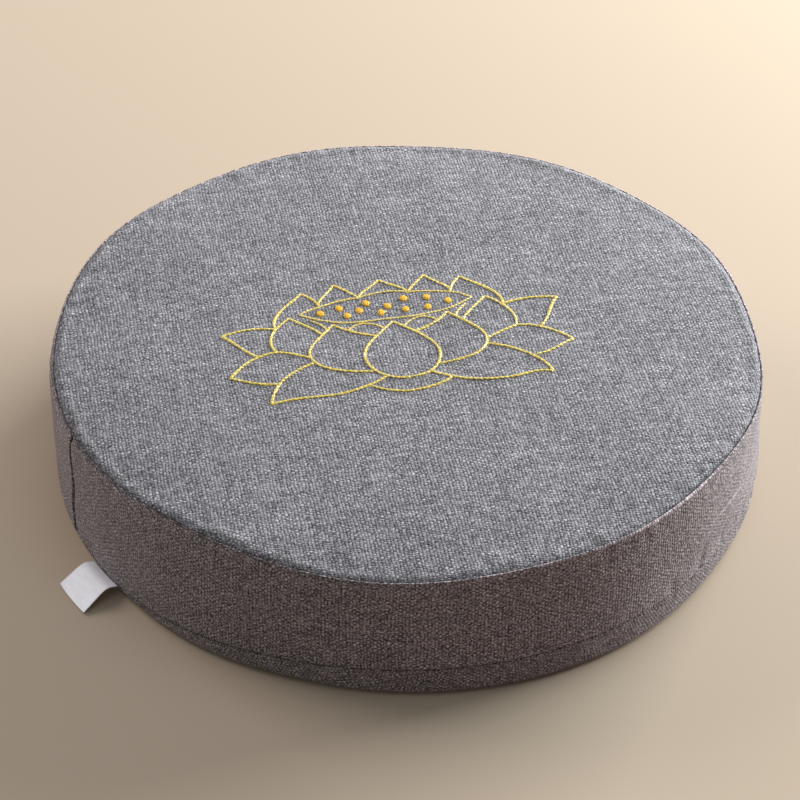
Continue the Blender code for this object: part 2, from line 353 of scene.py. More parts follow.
def loose_cover():
    """How the cover swells between its seams, as two tables of movement in mm.

    The cover starts a little smaller than the cushion and a little looser than
    its foam. It is held at its two seams and blown up for twenty steps.
    """
    stations = 8 * COVER_N
    share, azimuth, quads, rim = round_grid(COVER_N)
    radius = seam_radius(azimuth) * share
    crown = top_height(azimuth, share) - 1.2 * (1 - share**2)
    top = np.stack([radius * np.cos(azimuth), radius * np.sin(azimuth), crown], -1)
    around = azimuth[rim]
    depth = np.linspace(0, 1, COVER_ROWS)[1:, None]
    upper, lower = seam_height(around)[None], lower_seam(around)[None]
    height = upper + (lower - upper) * depth
    out = wall_radius(np.broadcast_to(around, height.shape), height)
    out = out - 1.2 * np.sin(math.pi * depth)
    wall = np.stack(
        [out * np.cos(around), out * np.sin(around), height], -1
    ).reshape(-1, 3)
    first = len(top)
    strip = ring_quads(COVER_ROWS - 1, stations, first)[:, ::-1]
    join = np.stack(
        [rim, first + np.arange(stations), first + (np.arange(stations) + 1) % stations, np.roll(rim, -1)],
        -1,
    )
    cover = make_mesh("loose_cover", np.concatenate([top, wall]), [quads, join, strip])
    held = cover.vertex_groups.new(name="seams")
    held.add([int(i) for i in rim], 1.0, "REPLACE")
    last = first + (COVER_ROWS - 2) * stations
    held.add(list(range(last, last + stations)), 1.0, "REPLACE")
    cloth = cover.modifiers.new("cloth", "CLOTH")
    settings = cloth.settings
    settings.quality = 6
    settings.mass = 0.3
    settings.tension_stiffness = settings.compression_stiffness = 20
    settings.shear_stiffness = 8
    settings.bending_stiffness = 0.35
    settings.use_pressure = True
    settings.uniform_pressure_force = 4.0
    settings.shrink_min = -0.009
    settings.vertex_group_mass = "seams"
    settings.effector_weights.gravity = 0.0
    cloth.collision_settings.use_collision = False
    scene = bpy.context.scene
    for step in range(1, 21):
        scene.frame_set(step)
    depsgraph = bpy.context.evaluated_depsgraph_get()
    settled = cover.evaluated_get(depsgraph).to_mesh()
    place = np.zeros(len(settled.vertices) * 3, np.float32)
    settled.vertices.foreach_get("co", place)
    place = place.reshape(-1, 3).astype(float) / MM
    cover.evaluated_get(depsgraph).to_mesh_clear()
    scene.frame_set(1)
    bpy.data.objects.remove(cover, do_unlink=True)
    move = place - np.concatenate([top, wall])
    length = np.linalg.norm(move, axis=1, keepdims=True)
    move = move * np.minimum(1.0, COVER_CAP / np.maximum(length, 1e-6))
    ring = np.rint(share * COVER_N).astype(int)
    even = np.arange(stations) / stations * 2 * math.pi
    top_table = np.zeros((COVER_N + 1, stations))
    top_table[0] = move[:first, 2][ring == 0].mean()
    for k in range(1, COVER_N + 1):
        here = ring == k
        top_table[k] = np.interp(even, azimuth[here] % (2 * math.pi), move[:first, 2][here], period=2 * math.pi)
    outward = move[first:, 0] * np.tile(np.cos(around), COVER_ROWS - 1)
    outward += move[first:, 1] * np.tile(np.sin(around), COVER_ROWS - 1)
    outward = outward.reshape(COVER_ROWS - 1, stations)
    wall_table = np.zeros((COVER_ROWS, stations))
    order = np.argsort(around % (2 * math.pi))
    wall_table[1:] = outward[:, order]
    print("loose cover: top moves %.2f to %.2f mm, wall %.2f to %.2f mm" % (top_table.min(), top_table.max(), wall_table.min(), wall_table.max()))
    # the tables above give the mean shape, so only the unevenness is kept
    top_table -= top_table.mean(1, keepdims=True)
    wall_table -= wall_table.mean(1, keepdims=True)
    return top_table, wall_table


def from_table(table, row, azimuth):
    """A table's value between its rows (0 to 1) and round the cushion."""
    rows, stations = table.shape
    r = np.clip(row, 0, 1) * (rows - 1)
    c = (azimuth / (2 * math.pi) % 1.0) * stations
    r0 = np.minimum(np.floor(r).astype(int), rows - 2)
    c0 = np.floor(c).astype(int)
    tr, tc = r - r0, c - c0
    tr, tc = tr * tr * (3 - 2 * tr), tc * tc * (3 - 2 * tc)
    near, far = c0 % stations, (c0 + 1) % stations
    upper = table[r0, near] * (1 - tc) + table[r0, far] * tc
    lower = table[r0 + 1, near] * (1 - tc) + table[r0 + 1, far] * tc
    return upper * (1 - tr) + lower * tr


swell_top, swell_wall = loose_cover()


# ---------------------------------------------------------------- top panel
def top_surface(azimuth, share):
    """Height of the top panel's upper face, in mm, up to its rolled edge."""
    radius = seam_radius(azimuth) * share
    x, y = radius * np.cos(azimuth), radius * np.sin(azimuth)
    from_seam = seam_radius(azimuth) - radius
    height = top_height(azimuth, share)
    height = height + np.clip(from_table(swell_top, share, azimuth), -0.7, 0.7)
    fade = np.clip(from_seam / 25.0, 0, 1)
    height = height + 0.16 * dents(x, y, 5, 45, 120) * fade
    gather = np.exp(-from_seam / 5.0) * (1 - np.exp(-from_seam / 1.2))
    height = height + 0.22 * ripple(azimuth, 9, 6.5, 17) * gather
    drop, puff = (round_table(TOP_SEAM, column, azimuth) for column in ("drop_mm", "puff_mm"))
    height = height + puff * np.exp(-(((from_seam - 3.5) / 3.0) ** 2))
    return height - drop * np.exp(-((np.maximum(from_seam, 0) / SEAM_ROLL) ** 1.5))


def top_at(x, y):
    """The same height at a place on the panel, in mm."""
    azimuth = np.arctan2(y, x)
    return top_surface(azimuth, np.hypot(x, y) / seam_radius(azimuth))


def polar(radius, azimuth, height):
    return np.stack([radius * np.cos(azimuth), radius * np.sin(azimuth), height], -1)


def make_top_panel():
    """A round sheet with a slight crown, its edge rolled down into the seam."""
    n = 90
    share, azimuth, quads, rim = round_grid(n)
    share = share * (1 - 7.0 / SEAM_RADIUS)
    radius = seam_radius(azimuth) * share
    face = polar(radius, azimuth, top_surface(azimuth, share))
    around = azimuth[rim]
    seam = seam_radius(around)
    uneven = 0.14 * ripple(around, 21, 5, 15)
    over = 0.45 * np.maximum(-round_table(TOP_SEAM, "proud_mm", around), 0)

    def rolled(from_seam, below):
        inside = seam - from_seam + over * math.exp(-from_seam)
        return polar(inside + uneven * math.exp(-from_seam / 2), around,
                     top_surface(around, inside / seam) - below)

    outer = [rolled(d, 0.0) for d in (6.0, 5.1, 4.3, 3.6, 3.0, 2.5, 2.0, 1.6, 1.25, 1.0, 0.77)]
    outer += [rolled(0.55, 0.12), rolled(0.38, 0.4), rolled(0.34, 0.8), rolled(0.5, 1.2)]
    inner = [rolled(1.0, 1.25), rolled(1.9, CLOTH)]
    under = face - np.array([0, 0, CLOTH])
    stations, count = 8 * n, len(face)
    rings = np.concatenate(outer + inner)
    verts = np.concatenate([face, rings, under])
    first = count
    last = count + (len(outer) + len(inner) - 1) * stations
    step = np.arange(stations)
    turn = (step + 1) % stations
    join = np.stack([rim, first + step, first + turn, rim[turn]], -1)
    lower = count + len(rings)
    back = np.stack([last + step, lower + rim, lower + rim[turn], last + turn], -1)
    tube = ring_quads(len(outer) + len(inner), stations, count)
    tube = tube[:, [0, 3, 2, 1]]
    polygons = [quads, join, tube, back, lower + quads[:, ::-1]]
    # the cloth lies flat, and its turned edge goes on outwards
    down = np.maximum(0.0, top_surface(around, 1 - 2.5 / SEAM_RADIUS) - rings.reshape(-1, stations, 3)[..., 2])
    reach = np.hypot(rings[:, 0], rings[:, 1]).reshape(-1, stations) + down
    flat = np.concatenate(
        [face[:, :2], np.stack([reach * np.cos(around), reach * np.sin(around)], -1).reshape(-1, 2), under[:, :2]]
    )
    # painted shade in the crease where the band stands proud, and along the rolled edge painted light from the top seam
    # table's panel column: pale where it faces the key light, dark at the left
    crease_shade = np.clip(round_table(TOP_SEAM, "proud_mm", around), 0, 1)
    edge_light = round_table(SEAM_EDGE_LIGHT, "panel", around)
    inside = seam - np.hypot(rings[:, 0], rings[:, 1]).reshape(-1, stations)
    edge = edge_light * (np.exp(-((np.maximum(inside, 0) / 2.6) ** 2)) + 1.6 * np.exp(-((inside / 0.8) ** 2)))
    edge = edge - 0.65 * crease_shade * np.exp(-((inside / 1.2) ** 2))
    shades = np.concatenate([np.zeros(len(face)), edge.ravel(), np.zeros(len(under))])
    return painted_light(make_mesh("cover_top", verts, polygons, [flat[p] for p in polygons]), shades)


# ---------------------------------------------------------------- side band
def band_stations():
    """Azimuths from the closing seam round to it again, close together there."""
    near = np.concatenate([np.arange(0, 0.6, 0.05), np.arange(0.6, 1.6, 0.125)])
    regular = np.arange(1.6, 358.4, 0.5)
    away = np.concatenate([near, regular, (360 - near)[:0:-1]])
    return away, np.radians(away + CLOSING_MEAN_DEG)


def closing_lean(away, height):
    """How far a station near the closing seam moves sideways at this height."""
    away = np.where(away > 180, away - 360, away)
    at = smooth_rows([r.height_mm for r in CLOSING_SEAM], [r.azimuth_deg for r in CLOSING_SEAM], height)
    share = np.clip(1 - np.abs(away) / CLOSING_REACH_DEG, 0, 1)
    return np.radians((at - CLOSING_MEAN_DEG) * share * share * (3 - 2 * share))


def closing_groove(away, height):
    """Depth of the closing seam, in mm: a narrow fold with soft shoulders."""
    away = np.where(away > 180, away - 360, away)
    along = np.radians(away) * SEAM_RADIUS
    tight = 0.72 + 0.28 * np.cos(height / 4.1) * np.cos(height / 2.7 + 1)
    deep = 1.6 * tight * np.clip(0.35 + height / 26, 0, 1)
    groove = deep * np.exp(-((np.abs(along) / 0.55) ** 1.7))
    wide = 0.25 * np.exp(-((along / 2.4) ** 2)) - 0.45 * np.exp(-((along / 9) ** 2))
    step = 0.3 * np.tanh(along / 0.4) * np.exp(-np.abs(along) / 5)
    return groove + wide + step


def make_band():
    """The filled wall, closed above and below where the panels cover it."""
    away, base = band_stations()
    stations = len(base)
    seam, top = seam_radius(base), seam_height(base)
    low = lower_seam(base)
    rim = round_table(TOP_SEAM, "proud_mm", base)
    proud, sunk = np.maximum(rim, 0), np.minimum(rim, 0)
    shaken = 0.10 * ripple(base, 33, 4, 11)
    rings, along = [], []

    def add(radius, height, azimuth=base, length=None):
        rings.append(polar(radius, azimuth, height))
        along.append(np.broadcast_to(height if length is None else length, (stations,)))

    for share in (0.3, 0.6, 0.8, 0.9, 0.96):
        add(seam * share, top_height(base, share) - 2.7, length=top + 4)
    add(seam + 0.02, top - 2.9, length=top + 2.6)
    add(seam + 0.05, top - 2.0, length=top + 2.0)
    add(seam + 0.12, top - 0.9 + 0.3 * proud + 0.5 * sunk, length=top + 1.2)
    add(seam + 0.34 + 0.3 * shaken, top - 0.12 + 0.8 * proud + 0.95 * sunk + shaken, length=top + 0.8)
    add(seam + 0.7 + 0.3 * shaken, top + proud + sunk + shaken, length=top + 0.4)
    add(seam + 1.08 + 0.4 * proud + 0.3 * shaken, top + 0.75 * proud + sunk - 0.15 + 0.7 * shaken, length=top)
    fine_top = [0.55, 0.9, 1.4, 2.1, 3.0, 4.2]
    fine_low = [4.4, 3.0, 2.0, 1.3, 0.8]
    middle = np.linspace(0, 1, 44)[1:-1]
    span = (top - 4.2) - (low + 4.4)
    heights = [top + sunk - d * (1 + sunk / 4.2) for d in fine_top]
    heights += [top - 4.2 - span * m for m in middle]
    heights += [low + d for d in fine_low]
    for height in heights:
        azimuth = base + closing_lean(away, height)
        radius = wall_radius(azimuth, height)
        below, above = top - height, height - low
        share = below / (top - low)
        radius = radius + np.clip(from_table(swell_wall, share, azimuth), -0.9, 0.9)
        arc = azimuth * SEAM_RADIUS
        fade = np.clip(below / 20, 0, 1) * np.clip(above / 12, 0, 1)
        radius = radius + 0.14 * dents(arc, height, 17, 40, 110) * fade
        radius = radius + 0.26 * ripple(azimuth, 51, 8, 22) * np.exp(-below / 6) * (1 - np.exp(-below / 1.5))
        radius = radius + 0.24 * ripple(azimuth, 52, 7, 20) * np.exp(-above / 5) * (1 - np.exp(-above / 1.5))
        radius = radius - 0.5 * np.exp(-((above / 1.1) ** 1.4))
        radius = radius + 0.55 * proud * np.exp(-((below / 1.5) ** 1.5)) - 0.35 * proud * np.exp(-(((below - 3.2) / 1.6) ** 2))
        radius = radius - closing_groove(away, height)
        add(radius, height, azimuth)
    tuck = strip_radius(base, low)
    add(tuck - 0.05 - 0.5 * closing_groove(away, low), low + 0.42)
    add(tuck - 0.6, low + 0.2)
    add(tuck - 2.1, low + 0.2)
    big = edge_round(base)
    small = np.maximum(big - 2.1, 0.3)
    centre = strip_radius(base, big) - big
    for turn in (0.0, 0.5, 1.0):
        angle = turn * math.pi / 2
        add(centre + small * math.cos(angle), big - small * math.sin(angle))
    add(seam * 0.6, 0 * low + 2.1)
    add(seam * 0.2, 0 * low + 2.1)
    verts = np.concatenate(rings)
    count = len(rings)
    tips = len(verts)
    verts = np.concatenate([verts, [[0, 0, SEAM_HEIGHT + CROWN - 2.1], [0, 0, 2.1]]])
    around = np.concatenate([away, [360.0]]) / 360 * 2 * math.pi * SEAM_RADIUS
    u = np.broadcast_to(around, (count, stations + 1))
    v = np.stack(along)
    v = np.concatenate([v, v[:, :1]], 1)
    quads = ring_quads(count, stations)[:, [0, 3, 2, 1]]
    quad_uv = ring_uv(u, v).reshape(-1, 4, 2)[:, [0, 3, 2, 1]]
    step = np.arange(stations)
    turn = (step + 1) % stations
    cap_top = np.stack([step, turn, np.full(stations, tips)], -1)
    end = (count - 1) * stations
    cap_low = np.stack([end + turn, end + step, np.full(stations, tips + 1)], -1)
    flat = verts[:, :2]
    # painted highlight and painted shade on the seam's folded rim, painted shade in the closing seam's fold and along
    # the lower seam, and painted light on the strip just past the closing seam
    painted_band_light = np.zeros((count, stations))
    level = np.array([ring[:, 2] for ring in rings])
    from_top = np.maximum(0.0, top + np.minimum(rim, 0) - level)
    outside = np.array([np.hypot(ring[:, 0], ring[:, 1]) for ring in rings]) > seam + 0.1
    # painted highlight where the rim faces the key light, painted shade at the left
    rim_light = round_table(SEAM_EDGE_LIGHT, "band", base) * (1 + 0.4 * ripple(base, 91, 4, 14))
    painted_band_light += np.where(outside, rim_light * np.exp(-((from_top / 0.75) ** 2)), 0)
    arc = np.radians(np.where(away > 180, away - 360, away)) * SEAM_RADIUS
    # painted shade in the closing seam's fold
    painted_band_light -= 0.8 * np.exp(-((np.abs(arc) / 0.75) ** 2)) * (0.75 + 0.25 * np.cos(level / 3.1))
    # painted light on the strip just past the closing seam, which faces the back-left fill
    painted_band_light += 0.12 * np.clip(-arc / 2, 0, 1) * np.exp(-((arc / 40) ** 2))
    from_low = np.maximum(0.0, level - low)
    # painted shade along the lower seam
    painted_band_light -= np.where(outside, round_table(LOWER_SEAM_SHADE, "amount", base) * np.exp(-((from_low / 1.1) ** 2)), 0)
    painted_band_light = np.concatenate([painted_band_light.ravel(), [0.0, 0.0]])
    return painted_light(make_mesh("cover_band", verts, [quads, cap_top, cap_low], [quad_uv, flat[cap_top], flat[cap_low]]), painted_band_light)


# ---------------------------------------------------------------- bottom panel
def make_bottom_panel():
    """A round sheet, flat where it rests, turned up the wall to the lower seam."""
    n = 64
    share, azimuth, quads, rim = round_grid(n)
    around = azimuth[rim]
    stations = 8 * n
    low, big = lower_seam(around), edge_round(around)
    centre = strip_radius(around, big) - big
    inner_edge = np.interp(azimuth % (2 * math.pi), np.sort(around % (2 * math.pi)),
                           centre[np.argsort(around % (2 * math.pi))], period=2 * math.pi)
    flat_face = polar(inner_edge * share, azimuth, 0 * share)
    gather = 0.2 * ripple(around, 71, 6, 18)
    uneven = 0.25 * ripple(around, 72, 25, 90)
    outer, lengths = [], []
    for turn in np.linspace(0.12, 1, 7):
        angle = turn * math.pi / 2
        outer.append(polar(centre + big * math.sin(angle), around, big - big * math.cos(angle)))
        lengths.append(centre + big * angle)
    top_edge = low - 0.28
    for rise in np.linspace(0, 1, 12)[1:-1]:
        height = big + (top_edge - big) * rise
        bend = gather * rise**3 + uneven * math.sin(math.pi * rise)
        outer.append(polar(strip_radius(around, height) + bend, around, height))
        lengths.append(centre + big * math.pi / 2 + height - big)
    end = strip_radius(around, low) + gather
    turned = centre + big * math.pi / 2 + top_edge - big
    for inset, below, further in ((0.08, 0.25, 0.0), (0.3, 0.0, 0.3), (0.9, -0.1, 0.9), (CLOTH, 0.25, 1.3)):
        outer.append(polar(end - inset, around, top_edge - below))
        lengths.append(turned + further)
    inner = []
    small = np.maximum(big - CLOTH, 0.35)
    inner.append(polar(end - CLOTH, around, np.maximum(low - 2.5, big)))
    for turn in (1.0, 0.66, 0.33, 0.0):
        angle = turn * math.pi / 2
        inner.append(polar(centre + small * math.sin(angle), around, big - small * math.cos(angle)))
    lengths += [turned + 2.6] * 5
    rings = np.concatenate(outer + inner)
    count = len(flat_face)
    under = flat_face + np.array([0, 0, CLOTH])
    under[:, :2] *= 0.9995
    verts = np.concatenate([flat_face, rings, under])
    step = np.arange(stations)
    turn = (step + 1) % stations
    join = np.stack([rim, rim[turn], count + turn, count + step], -1)
    tube = ring_quads(len(outer) + len(inner), stations, count)
    last = count + (len(outer) + len(inner) - 1) * stations
    lower = count + len(rings)
    back = np.stack([last + step, last + turn, lower + rim[turn], lower + rim], -1)
    polygons = [quads[:, ::-1], join, tube, back, lower + quads]
    reach = np.stack([length + 0 * around for length in lengths])
    flat = np.concatenate(
        [flat_face[:, :2], np.stack([reach * np.cos(around), reach * np.sin(around)], -1).reshape(-1, 2), under[:, :2]]
    )
    # painted shade: the turned-up strip a little darker all over, and darker still along the lower seam
    below = np.maximum(0.0, top_edge - rings[:, 2].reshape(-1, stations))
    edge = -0.05 - round_table(LOWER_SEAM_SHADE, "amount", around) * np.exp(-((below / 1.1) ** 2))
    shades = np.concatenate([np.zeros(len(flat_face)), edge.ravel(), np.zeros(len(under))])
    return painted_light(make_mesh("cover_bottom", verts, polygons, [flat[p] for p in polygons]), shades)


# ---------------------------------------------------------------- label
def make_label():
    """A woven tape out of the lower seam, arched up and then down to the floor."""
    along, across = 56, 40
    out, side = np.meshgrid(np.linspace(0, 1, along), np.linspace(0, 1, across), indexing="ij")
    heading = math.radians(LABEL_HEADING_DEG)
    azimuth = np.radians(LABEL_WIDTH_FROM_DEG + (LABEL_WIDTH_TO_DEG - LABEL_WIDTH_FROM_DEG) * side)
    root_height = 2.0 + 3.0 * side
    rise = 3.6 - 0.4 * side
    root = wall_radius(azimuth, lower_seam(azimuth)) + 0.35
    up = root_height + rise * np.sin(np.clip(out / 0.36, 0, 1) * math.pi / 2)
    fall = np.clip((out - 0.36) / 0.64, 0, 1)
    height = up + (0.75 - up) * (fall * 0.85 + 0.15 * fall * fall)
    # the bend is soft, and the free corners lift a little
    soft = np.exp(-(((out - 0.36) / 0.09) ** 2))
    height = height - 0.35 * soft
    height = height + 0.5 * out**6 * (2 * side - 1) ** 4 + 0.12 * np.sin(5 * side + 3 * out)
    height = height + 0.25 * np.sin(side * math.pi) * np.sin(out * math.pi)
    reach = LABEL_REACH * out
    x = root * np.cos(azimuth) + reach * math.cos(heading)
    y = root * np.sin(azimuth) + reach * math.sin(heading)
    points = np.stack([x, y, np.maximum(height, 0.5)], -1)
    du = np.gradient(points, axis=0)
    dv = np.gradient(points, axis=1)
    normal = np.cross(du, dv)
    normal /= np.linalg.norm(normal, axis=-1, keepdims=True)
    normal *= np.sign(normal[..., 2:])
    upper, lower = points + normal * LABEL_THICK / 2, points - normal * LABEL_THICK / 2
    count = along * across
    row, col = np.meshgrid(np.arange(along - 1), np.arange(across - 1), indexing="ij")
    here = row * across + col
    quads = np.stack([here, here + across, here + across + 1, here + 1], -1).reshape(-1, 4)
    grid = np.arange(count).reshape(along, across)
    rim = np.concatenate([grid[:, 0], grid[-1, 1:], grid[-2::-1, -1], grid[0, -2:0:-1]])
    turn = np.roll(rim, -1)
    edge = np.stack([rim, count + rim, count + turn, turn], -1)
    polygons = [quads, count + quads[:, ::-1], edge]
    step = np.concatenate([[0], np.cumsum(np.linalg.norm(np.diff(points[:, across // 2], axis=0), axis=1))])
    flat = np.stack([np.broadcast_to(step[:, None], out.shape), side * LABEL_WIDE], -1).reshape(-1, 2)
    flat = np.concatenate([flat, flat])
    label = make_mesh("tape_label", np.concatenate([upper.reshape(-1, 3), lower.reshape(-1, 3)]), polygons, [flat[p] for p in polygons])
    label.data.set_sharp_from_angle(angle=math.radians(50))
    return label


# ---------------------------------------------------------------- embroidery
AXIS_X, AXIS_Y, AXIS_TURN_DEG = -6.8, -1.7, 0.55  # mm and degrees: where the motif stands
MOTIF_TALL = 0.984  # the cloth has drawn in a little under the stitches

# One side of each petal of the left half, from the flower's axis, in mm. It
# leaves its start at one angle and reaches its end at another, and pull and push
# say how long it holds each. The right half is its mirror image, apart from the
# edges that stand on one side only.
Edge = namedtuple("Edge", "x y leave_deg pull to_x to_y arrive_deg push only", defaults=(None,))
PETALS = [
    Edge(0, -36.6, 180, 11.9, -21.5, -15.5, 90, 11.7),  # middle petal, round foot
    Edge(-21.5, -15.5, 90, 10.5, 0, 15.5, 46, 14.5),  # and its shoulder
    Edge(-19.6, -27.2, 175, 16, -51.5, -7, 90, 13, "left"),  # second petal
    Edge(-51.5, -7, 90, 9, -33.6, 19.8, 55, 12, "left"),
    Edge(-19.6, -27.2, 175, 16, -49.6, -7, 90, 13, "right"),
    Edge(-49.6, -7, 90, 9, -33.2, 19.8, 52, 12, "right"),
    Edge(-33.6, 19.8, -52, 9, -11, 4.6, -22, 8),
    Edge(-69.6, -0.8, 119, 13.5, -56.8, 29.8, 36, 11.3, "left"),  # third petal
    Edge(-69.6, -0.8, 110, 12, -56.8, 29.8, 36, 11.3, "right"),
    Edge(-56.8, 29.8, -50, 8, -40.6, 10.6, -71, 7.3),
    Edge(-69.6, -0.8, -14, 6, -51.2, -9.6, -30, 6, "left"),
    Edge(-69.6, -0.8, -14, 6, -49.4, -9.6, -30, 6, "right"),
    Edge(-66.6, 20.8, 160, 10, -98, 20.4, 202, 10.8, "left"),  # upper side leaf
    Edge(-98, 20.4, -39, 7.7, -80, -3, -38, 8.9, "left"),
    Edge(-66.6, 20.8, 150, 9, -98.8, 22.3, 190, 10.8, "right"),
    Edge(-98.8, 22.3, -42, 10, -82.9, -3.5, -48, 10, "right"),
    Edge(-69.6, -0.8, 178, 9.5, -98.5, -18.5, 231, 12.8),  # middle side leaf
    Edge(-98.5, -18.5, -28, 8.5, -73.6, -29.6, -7, 8.5),
    Edge(-50.6, -14.6, 196, 12, -79.5, -46.6, 264, 15.7, "left"),  # lower side leaf
    Edge(-79.5, -46.6, 24, 14.8, -12.6, -33, 34, 35.6, "left"),
    Edge(-48.8, -14.6, 198, 12, -79.5, -46.6, 264, 15.7, "right"),
    Edge(-79.5, -46.6, 30, 14, -12.6, -33, 35.3, 44, "right"),
    Edge(-22.5, -40.3, -38, 8.3, 0, -48.3, 0, 8, "left"),  # low arc
    Edge(-23.6, -40.0, -38, 8.3, 0, -48.3, 0, 8, "right"),
    Edge(-66.4, 21, 96, 14, -46.8, 51.8, 50, 14),  # outer back petal
    Edge(-46.8, 51.8, -38, 5.4, -38.5, 38, -84, 5),
    Edge(-38.5, 41.5, 68, 5, -26.8, 56.8, 61, 7.7),  # inner back petal
    Edge(-26.8, 56.8, -41, 5.7, -14.4, 41.8, -63, 4.7),
    Edge(-14.4, 41.8, 72, 5.5, 0, 56.3, 52, 7.3),  # middle back petal
]
POD = [
    Edge(-50.5, 31.8, 30, 5, -38.5, 37.8, 12, 5, "left"),  # seed pod, upper edge
    Edge(-49.2, 30.5, 38, 5, -38.5, 37.8, 12, 5, "right"),
    Edge(-38.5, 37.8, 22, 8, -14.4, 41.7, -4, 8),
    Edge(-14.4, 41.6, 25, 5, 0, 44.3, 0, 5),
    Edge(-50.5, 31.8, -36, 6, -34, 22.6, -22, 6, "left"),  # lower edge
    Edge(-49.2, 30.5, -32, 5, -34, 22.6, -22, 6, "right"),
    Edge(-34, 22.6, -22, 8, 0, 18.6, 0, 12),
    Edge(-45, 25.2, -35, 4.5, -37.3, 14.3, -80, 4.5),  # small arcs under it
    Edge(-25.6, 13.2, 57, 7.5, -5.6, 10.2, -58, 10.3),
]
Seed = namedtuple("Seed", "x y")
SEEDS = [
    Seed(-39, 31.5),
    Seed(-28, 34.5),
    Seed(-24.5, 27),
    Seed(-16.5, 30),
    Seed(-11, 36),
    Seed(-4.3, 25.5),
    Seed(0.4, 31),
    Seed(10, 26),
    Seed(11, 36),
    Seed(23.6, 26),
    Seed(24.5, 35.5),
    Seed(36, 30.5),
]
STITCH = 2.9  # mm, one stitch of the petals' lines
POD_STITCH = 2.3


def curve_of(edge, mirrored):
    """Points along one side, close together, in the panel's frame, in mm."""
    t = np.linspace(0, 1, 200)[:, None]
    start, end = np.array([edge.x, edge.y]), np.array([edge.to_x, edge.to_y])
    leave, arrive = math.radians(edge.leave_deg), math.radians(edge.arrive_deg)
    one = start + edge.pull * np.array([math.cos(leave), math.sin(leave)])
    two = end - edge.push * np.array([math.cos(arrive), math.sin(arrive)])
    p = (1 - t) ** 3 * start + 3 * t * (1 - t) ** 2 * one + 3 * t * t * (1 - t) * two + t**3 * end
    if mirrored:
        p = p * np.array([-1, 1])
    return placed(p)


def placed(p):
    """From the motif's own frame to the panel's, pulled a little by the cloth."""
    turn = math.radians(AXIS_TURN_DEG)
    x, y = p[..., 0], p[..., 1]
    x = x + 0.35 * np.sin(y / 9.0 + x / 14) + 0.25 * np.sin(x / 6.1)
    y = MOTIF_TALL * y + 0.35 * np.sin(x / 11.0 + 1.3) + 0.2 * np.sin(x / 5.2 + y / 7)
    across, up = x * math.cos(turn) - y * math.sin(turn), x * math.sin(turn) + y * math.cos(turn)
    return np.stack([AXIS_X + across, AXIS_Y + up], -1)


def tubes(name, centre, radius, sides=6, tone=None):
    """Closed strands. centre is (strands, points, 3) and radius (strands, points)."""
    strands, points = radius.shape
    tangent = np.gradient(centre, axis=1)
    tangent /= np.linalg.norm(tangent, axis=-1, keepdims=True)
    side = np.cross(np.array([0.0, 0, 1]), tangent)
    side /= np.maximum(np.linalg.norm(side, axis=-1, keepdims=True), 1e-9)
    normal = np.cross(tangent, side)
    angle = np.arange(sides) / sides * 2 * math.pi
    ring = centre[:, :, None] + radius[:, :, None, None] * (
        np.cos(angle)[:, None] * side[:, :, None] + np.sin(angle)[:, None] * normal[:, :, None]
    )
    verts = ring.reshape(-1, 3)
    base = (np.arange(strands) * points * sides)[:, None, None]
    row, col = np.meshgrid(np.arange(points - 1), np.arange(sides), indexing="ij")
    here = row * sides + col
    turn = row * sides + (col + 1) % sides
    quads = np.stack([here, here + sides, turn + sides, turn], -1)
    quads = (base[..., None] + quads[None]).reshape(-1, 4)
    cap = np.arange(sides)
    caps = np.concatenate([
        (np.arange(strands) * points * sides)[:, None] + cap[None],
        (np.arange(strands) * points * sides + (points - 1) * sides)[:, None] + cap[None, ::-1],
    ])
    length = np.concatenate([np.zeros((strands, 1)), np.cumsum(np.linalg.norm(np.diff(centre, axis=1), axis=-1), 1)], 1)
    u = np.broadcast_to(length[:, :, None], (strands, points, sides)).reshape(-1)
    v = np.broadcast_to(np.arange(sides)[None, None] / sides, (strands, points, sides)).reshape(-1)
    flat = np.stack([u, v], -1)
    quad_uv = flat[quads].copy()
    wrap = quad_uv[:, [2, 3], 1] == 0
    quad_uv[:, [2, 3], 1] = np.where(wrap, 1.0, quad_uv[:, [2, 3], 1])
    obj = make_mesh(name, verts, [quads, caps], [quad_uv, flat[caps]])
    if tone is not None:
        shade = obj.data.attributes.new("tone", "FLOAT", "POINT")
        values = np.broadcast_to(tone[:, None, None], (strands, points, sides))
        shade.data.foreach_set("value", values.astype(np.float32).ravel())
    return obj


